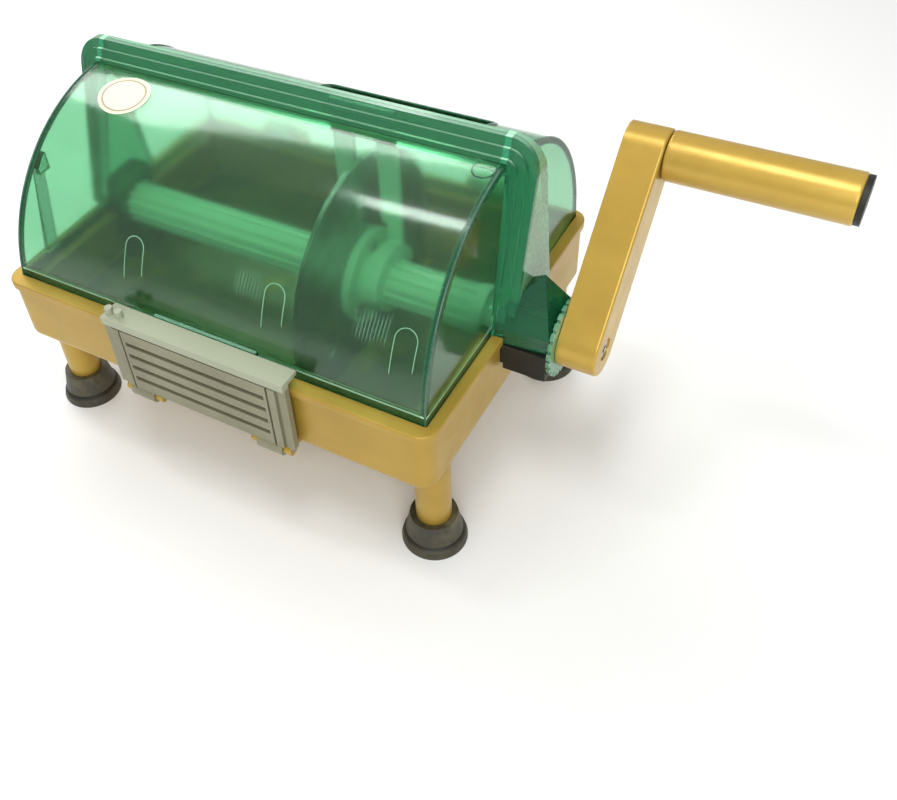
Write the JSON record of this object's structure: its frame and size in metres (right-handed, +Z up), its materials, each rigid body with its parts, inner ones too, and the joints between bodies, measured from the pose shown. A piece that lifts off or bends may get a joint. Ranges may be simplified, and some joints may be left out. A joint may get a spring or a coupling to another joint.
{
  "type": "rotary vegetable cutter",
  "caption": "Hand cranked vegetable cutter: moulded tray on suction cups, hinged clear cover, round blade on a ribbed shaft.",
  "frame": {"origin": "on the table plane, under the middle of the tray", "axes": "+X along the shaft towards the crank, +Y to the rear hinge, +Z up"},
  "size_m": [0.3815, 0.194, 0.1841],
  "materials": {
    "ochre_plastic": "satin moulded plastic",
    "cup_rubber": "matt",
    "black_plastic": "satin",
    "steel": "turned",
    "latch_plastic": "matt moulded",
    "clear_green": "clear tinted, polished",
    "green_plastic": "tinted, polished",
    "pale_green_plastic": "tinted, polished",
    "label_film": "matt film",
    "blade_steel": "ground"
  },
  "bodies": {
    "tray_body": {"tray": "ochre_plastic", "suction_cup_front_left": "cup_rubber", "suction_cup_front_right": "cup_rubber", "suction_cup_rear_left": "cup_rubber", "suction_cup_rear_right": "cup_rubber", "lower_bearing_left": "black_plastic", "lower_bearing_right": "black_plastic", "hinge_pins": "steel", "latch_pins": "steel"},
    "lid": {"front_cover": "clear_green", "rear_cover": "clear_green", "bearing_cap_left": "green_plastic", "bearing_cap_right": "green_plastic", "blade_fork": "pale_green_plastic", "blank_label": "label_film"},
    "latch_body": {"latch": "latch_plastic"},
    "rotor": {"rotor_shaft": "pale_green_plastic", "blade_disc": "blade_steel", "hub_flange_left": "pale_green_plastic", "hub_flange_right": "pale_green_plastic", "blade_screws": "steel", "shaft_collar": "pale_green_plastic", "drive_collar": "pale_green_plastic", "crank_arm": "ochre_plastic", "arm_screw": "steel", "grip_axle": "steel"},
    "grip": {"grip_sleeve": "ochre_plastic", "grip_cap": "black_plastic"}
  },
  "joints": [
    {"name": "crank_turn", "type": "hinge", "parent": "tray_body", "child": "rotor", "pos_m": [0, 0.001, 0.0906], "axis": [1, 0, 0], "continuous": true},
    {"name": "grip_turn", "type": "hinge", "parent": "rotor", "child": "grip", "pos_m": [0.2, 0.05947, 0.15955], "axis": [1, 0, 0], "continuous": true},
    {"name": "lid_open", "type": "hinge", "parent": "tray_body", "child": "lid", "pos_m": [0, 0.094, 0.094], "axis": [-1, 0, 0], "range_deg": [0, 95]},
    {"name": "latch_open", "type": "hinge", "parent": "tray_body", "child": "latch_body", "pos_m": [0.0017, -0.0914, 0.0552], "axis": [1, 0, 0], "range_deg": [0, 120]}
  ]
}
